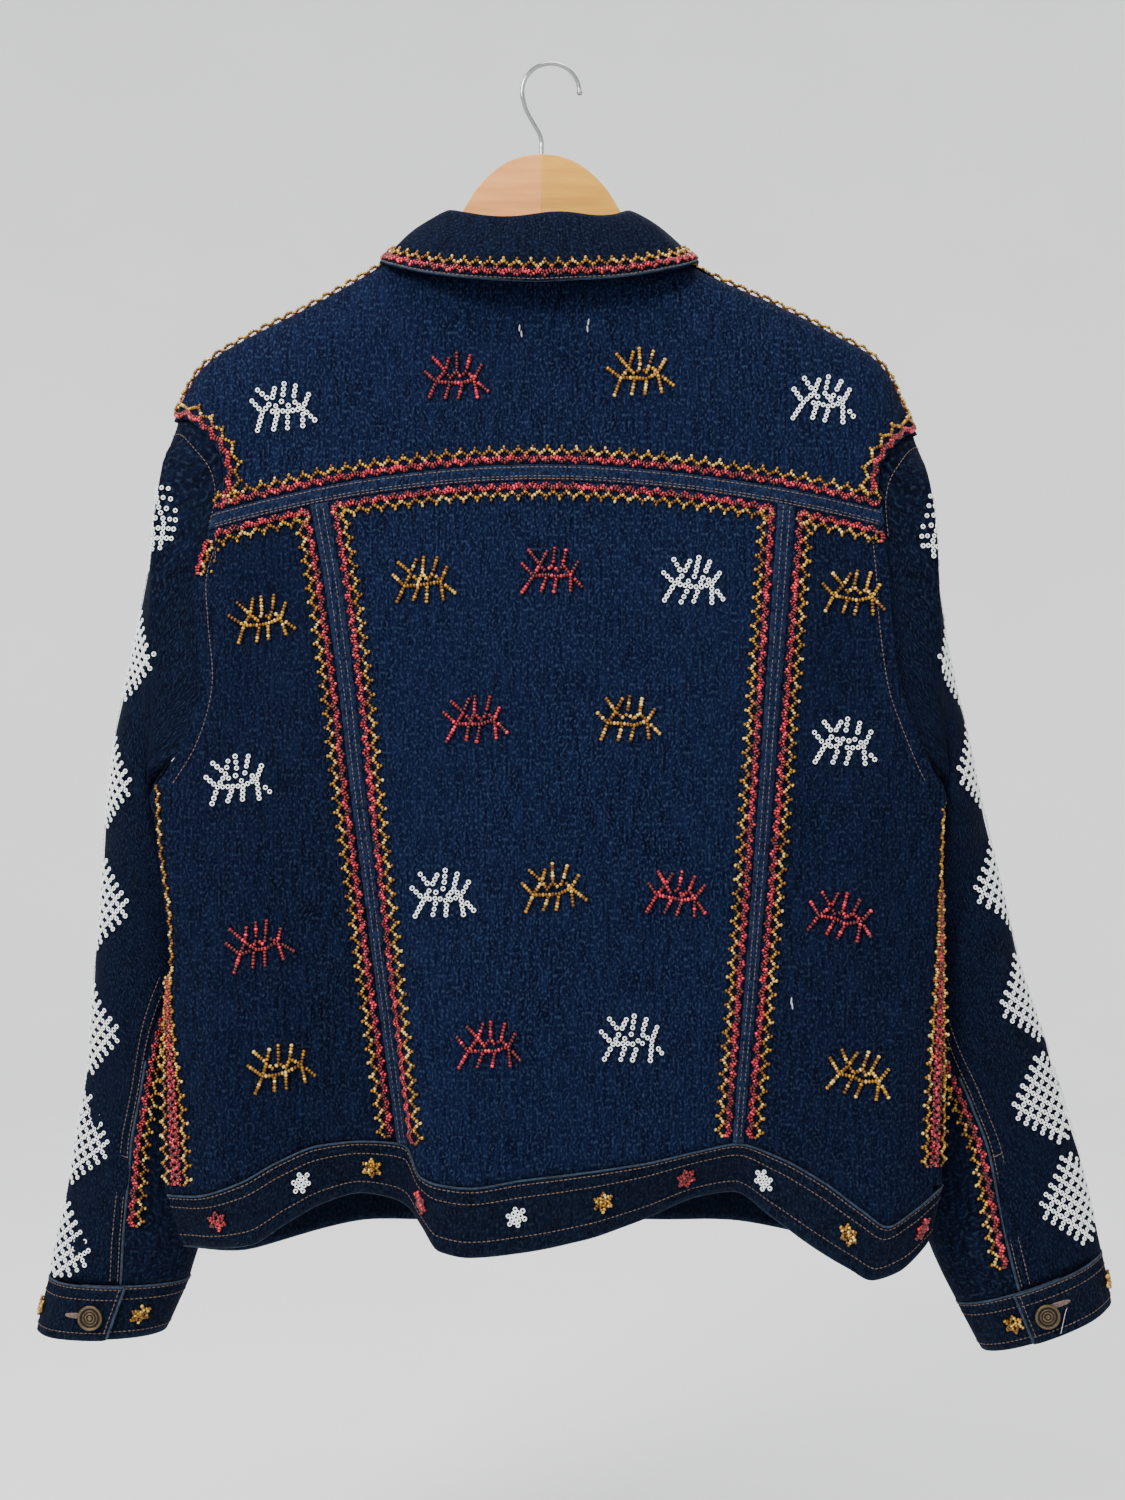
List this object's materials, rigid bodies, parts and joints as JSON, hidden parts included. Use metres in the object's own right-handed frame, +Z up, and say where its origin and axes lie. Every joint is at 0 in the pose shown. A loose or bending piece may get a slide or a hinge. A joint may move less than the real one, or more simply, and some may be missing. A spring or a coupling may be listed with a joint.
{
  "type": "beaded denim jacket on a wooden hanger",
  "caption": "Dark indigo denim trucker jacket seen from the back, with red, gold and white beadwork along its seams, on a two-tone wooden hanger",
  "frame": {"origin": "the inside top of the hanger's hook, where a rail or a wall hook holds it", "axes": "+Z up, -Y out of the jacket's back towards the viewer, +X to the viewer's right as the back is looked at"},
  "size_m": [0.7418, 0.1046, 0.884],
  "materials": {
    "denim": "dark indigo denim with a fine upright slub",
    "denim_bands": "dark indigo denim, doubled and topstitched",
    "bronze": "antique bronze, dark in its rings",
    "wood_pinkish": "smooth pinkish brown wood, satin lacquer",
    "wood_pale": "smooth pale yellow wood, satin lacquer",
    "chrome_wire": "polished wire"
  },
  "bodies": {
    "root": {"back_yoke": "denim", "back_centre_panel": "denim", "back_side_panel_left": "denim", "back_side_panel_right": "denim", "front_panel_left": "denim", "front_panel_right": "denim", "collar_leaf": "denim", "sleeve_under_left": "denim", "sleeve_under_right": "denim", "sleeve_upper_left": "denim", "sleeve_upper_right": "denim", "yoke_seam_strip": "denim_bands", "princess_strip_left": "denim_bands", "princess_strip_right": "denim_bands", "front_band": "denim_bands", "waistband": "denim_bands", "collar_stand": "denim_bands", "cuff_left": "denim_bands", "cuff_right": "denim_bands", "cuff_button_left": "bronze", "cuff_button_right": "bronze", "front_button_1": "bronze", "front_button_2": "bronze", "front_button_3": "bronze", "front_button_4": "bronze", "front_button_5": "bronze", "front_button_6": "bronze", "hanger_arm_left": "wood_pinkish", "hanger_arm_right": "wood_pale", "hanger_hook": "chrome_wire"}
  },
  "joints": []
}
